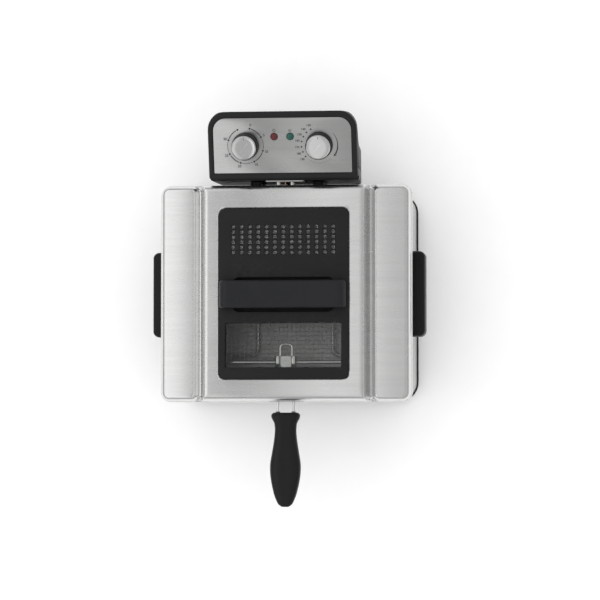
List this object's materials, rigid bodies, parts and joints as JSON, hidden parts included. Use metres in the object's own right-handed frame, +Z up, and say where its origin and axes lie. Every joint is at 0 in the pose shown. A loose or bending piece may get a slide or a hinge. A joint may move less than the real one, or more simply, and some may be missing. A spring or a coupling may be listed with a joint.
{
  "type": "deep fryer",
  "caption": "Boxy steel immersion deep fryer with pressed lid, vented black insert and window, rear control unit with knobs, and a frying basket with a black grip.",
  "frame": {"origin": "centre of the footprint (control unit to basket grip, side handle to side handle) on the table", "axes": "+Z up, -Y towards the user (basket grip), +Y towards the control unit, +X to the user's right"},
  "size_m": [0.37, 0.526, 0.2187],
  "materials": {
    "brushed_steel": "brushed, semi-bright",
    "tank_steel": "satin",
    "bright_wire": "bright, electropolished",
    "sheath": "satin, slightly heat-tinted",
    "face_metal": "fine brushed",
    "knob_metal": "spun, polished chamfer",
    "black_plastic": "fine moulded texture",
    "satin_black": "satin black",
    "handle_black": "semi-gloss",
    "foot_rubber": "matte",
    "clear_glass": "clear",
    "red_lens": "transparent red, unlit",
    "green_lens": "transparent green, unlit",
    "screw_steel": "zinc plated",
    "mech_steel": "plain",
    "shaft_brass": "turned",
    "cream_plastic": "moulded",
    "copper_sensor": "drawn tube"
  },
  "bodies": {
    "housing": {"outer_housing": "brushed_steel", "base_tray": "black_plastic", "foot_front_left": "foot_rubber", "foot_front_right": "foot_rubber", "foot_rear_left": "foot_rubber", "foot_rear_right": "foot_rubber", "side_handle_left": "black_plastic", "side_handle_right": "black_plastic", "handle_screw_front_left": "screw_steel", "handle_screw_front_right": "screw_steel", "handle_screw_rear_left": "screw_steel", "handle_screw_rear_right": "screw_steel", "rear_guide": "black_plastic", "guide_screw_left": "screw_steel", "guide_screw_right": "screw_steel"},
    "tank": {"oil_tank": "tank_steel"},
    "control_unit": {"control_front_shell": "black_plastic", "control_rear_cover": "black_plastic", "cover_screw_left": "screw_steel", "cover_screw_right": "screw_steel", "face_plate": "face_metal", "timer_movement": "mech_steel", "thermostat_body": "mech_steel", "red_light_lens": "red_lens", "green_light_lens": "green_lens", "red_neon_lamp": "clear_glass", "green_neon_lamp": "clear_glass", "interlock_switch": "black_plastic", "power_inlet": "satin_black", "thermal_cutout": "cream_plastic", "heating_element": "sheath", "element_plate": "tank_steel", "thermostat_bulb": "copper_sensor", "bulb_clip": "tank_steel"},
    "timer_dial": {"timer_knob": "satin_black", "timer_knob_cap": "knob_metal", "timer_shaft": "shaft_brass"},
    "thermostat_dial": {"thermostat_knob": "satin_black", "thermostat_knob_cap": "knob_metal", "thermostat_shaft": "shaft_brass"},
    "reset": {"reset_button": "red_lens"},
    "basket": {"basket_mesh": "bright_wire", "basket_rim_wire": "bright_wire", "basket_foot_left": "bright_wire", "basket_foot_right": "bright_wire", "handle_bracket": "bright_wire"},
    "basket_handle": {"handle_wires": "bright_wire", "handle_grip": "black_plastic"},
    "lid": {"lid_shell": "brushed_steel", "lid_insert": "satin_black", "lid_handle": "handle_black", "lid_handle_screw_left": "screw_steel", "lid_handle_screw_right": "screw_steel", "window_pane": "clear_glass", "window_frame": "foot_rubber", "filter_mesh": "bright_wire", "lid_rest_rail_left": "tank_steel", "lid_rest_rail_right": "tank_steel"},
    "filter": {"filter_cassette": "black_plastic"}
  },
  "joints": [
    {"name": "tank_lift_out", "type": "slide", "parent": "housing", "child": "tank", "axis": [0, 0, 1], "range_m": [0, 0.14]},
    {"name": "control_unit_lift_off", "type": "slide", "parent": "tank", "child": "control_unit", "axis": [0, 0, 1], "range_m": [0, 0.13]},
    {"name": "basket_lift_out", "type": "slide", "parent": "control_unit", "child": "basket", "axis": [0, 0, 1], "range_m": [0, 0.13]},
    {"name": "lid_lift_off", "type": "slide", "parent": "basket", "child": "lid", "axis": [0, 0, 1], "range_m": [0, 0.1]},
    {"name": "basket_handle_pull_off", "type": "slide", "parent": "basket", "child": "basket_handle", "axis": [0, -1, 0], "range_m": [0, 0.04]},
    {"name": "filter_cassette_slide", "type": "slide", "parent": "lid", "child": "filter", "axis": [0, -1, 0], "range_m": [0, 0.018]},
    {"name": "timer_turn", "type": "hinge", "parent": "control_unit", "child": "timer_dial", "pos_m": [-0.0495, 0.21804, 0.19678], "axis": [0, 0.2588, -0.9659], "range_deg": [0, 300]},
    {"name": "thermostat_turn", "type": "hinge", "parent": "control_unit", "child": "thermostat_dial", "pos_m": [0.0495, 0.21804, 0.19678], "axis": [0, 0.2588, -0.9659], "range_deg": [0, 240]},
    {"name": "reset_button_press", "type": "slide", "parent": "control_unit", "child": "reset", "axis": [0, -1, 0], "range_m": [0, 0.0022], "stiffness_N_per_m": 400}
  ]
}
